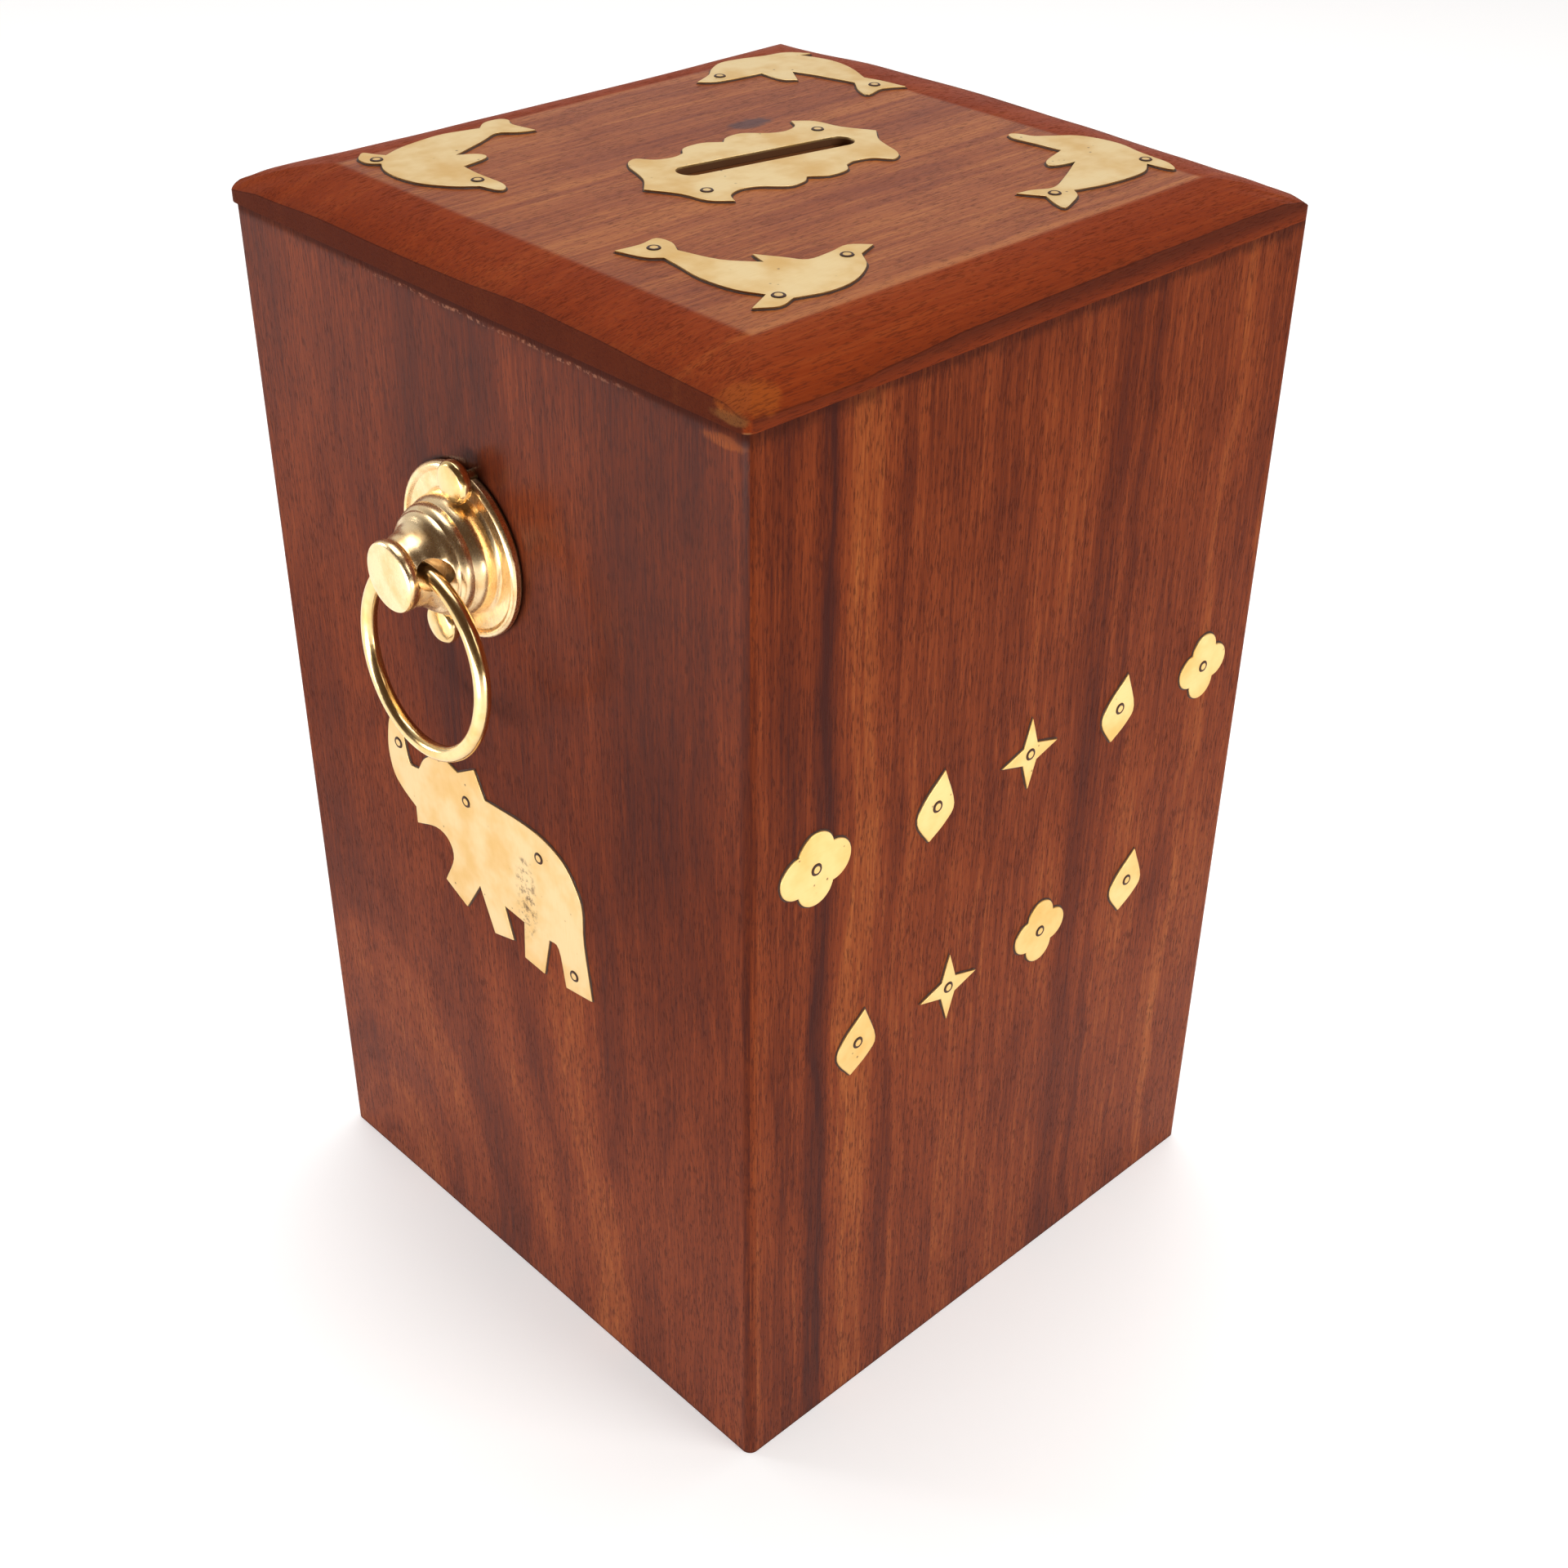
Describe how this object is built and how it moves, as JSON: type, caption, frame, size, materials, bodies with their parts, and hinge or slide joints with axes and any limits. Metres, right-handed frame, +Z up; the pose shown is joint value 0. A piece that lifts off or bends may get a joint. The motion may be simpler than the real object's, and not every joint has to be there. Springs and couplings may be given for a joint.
{
  "type": "wooden money box",
  "caption": "Upright square wooden money box with brass inlay, a lid coin slot with a brass plate, side ring pulls and a small hasped back door.",
  "frame": {"origin": "centre of the underside, on the surface that the box stands on", "axes": "+Z up; -Y is the front with the two rows of brass motifs; -X and +X are the sides with the ring pulls; +Y is the back with the small door"},
  "size_m": [0.1546, 0.1348, 0.2069],
  "materials": {
    "wall_wood": "reddish-brown hardwood, upright grain, satin lacquer",
    "lid_wood": "reddish-brown hardwood, grain across the lid, satin lacquer",
    "door_wood": "reddish-brown hardwood, satin lacquer",
    "inlay_brass": "pale sheet brass, sanded satin",
    "pin_brass": "brass wire pins, filed flush",
    "polished_brass": "turned brass, polished",
    "hardware_brass": "pressed brass, satin",
    "brad_steel": "bare drawn steel, hidden in the joints"
  },
  "bodies": {
    "box": {"front_panel": "wall_wood", "back_panel": "wall_wood", "left_panel": "wall_wood", "right_panel": "wall_wood", "base_board": "wall_wood", "lid_board": "lid_wood", "slot_plate": "inlay_brass", "slot_plate_pins": "pin_brass", "near_dolphin": "inlay_brass", "left_dolphin": "inlay_brass", "right_dolphin": "inlay_brass", "far_dolphin": "inlay_brass", "dolphin_pins": "pin_brass", "left_elephant": "inlay_brass", "right_elephant": "inlay_brass", "elephant_pins": "pin_brass", "front_flower_1": "inlay_brass", "front_leaf_1": "inlay_brass", "front_star_1": "inlay_brass", "front_leaf_2": "inlay_brass", "front_flower_2": "inlay_brass", "front_leaf_3": "inlay_brass", "front_star_2": "inlay_brass", "front_flower_3": "inlay_brass", "front_leaf_4": "inlay_brass", "front_motif_pins": "pin_brass", "left_pull_plate": "polished_brass", "right_pull_plate": "polished_brass", "left_pull_pins": "polished_brass", "right_pull_pins": "polished_brass", "upper_hinge_frame_leaf": "hardware_brass", "upper_hinge_pin": "hardware_brass", "lower_hinge_frame_leaf": "hardware_brass", "lower_hinge_pin": "hardware_brass", "hinge_frame_screws": "hardware_brass", "staple": "hardware_brass", "staple_screws": "hardware_brass", "lid_brads": "brad_steel", "base_brads": "brad_steel", "corner_brads": "brad_steel"},
    "left_ring": {"left_ring": "polished_brass"},
    "right_ring": {"right_ring": "polished_brass"},
    "door": {"door_panel": "door_wood", "upper_hinge_door_leaf": "hardware_brass", "lower_hinge_door_leaf": "hardware_brass", "hinge_door_screws": "hardware_brass", "hasp_base_leaf": "hardware_brass", "hasp_pin": "hardware_brass", "hasp_screws": "hardware_brass"},
    "hasp_strap": {"hasp_strap": "hardware_brass"}
  },
  "joints": [
    {"name": "left_ring_swing", "type": "hinge", "parent": "box", "child": "left_ring", "pos_m": [-0.0726, 0.0036, 0.1588], "axis": [0, 0.9781, -0.2079], "range_deg": [-21, 191]},
    {"name": "right_ring_swing", "type": "hinge", "parent": "box", "child": "right_ring", "pos_m": [0.0726, 0.0036, 0.1588], "axis": [0, -0.9781, 0.2079], "range_deg": [-21, 191]},
    {"name": "door_swing", "type": "hinge", "parent": "box", "child": "door", "pos_m": [-0.03, 0.06395, 0.043], "axis": [0, 0, 1], "range_deg": [0, 175]},
    {"name": "strap_swing", "type": "hinge", "parent": "door", "child": "hasp_strap", "pos_m": [0.019, 0.06395, 0.043], "axis": [0, 0, 1], "range_deg": [0, 175]}
  ]
}
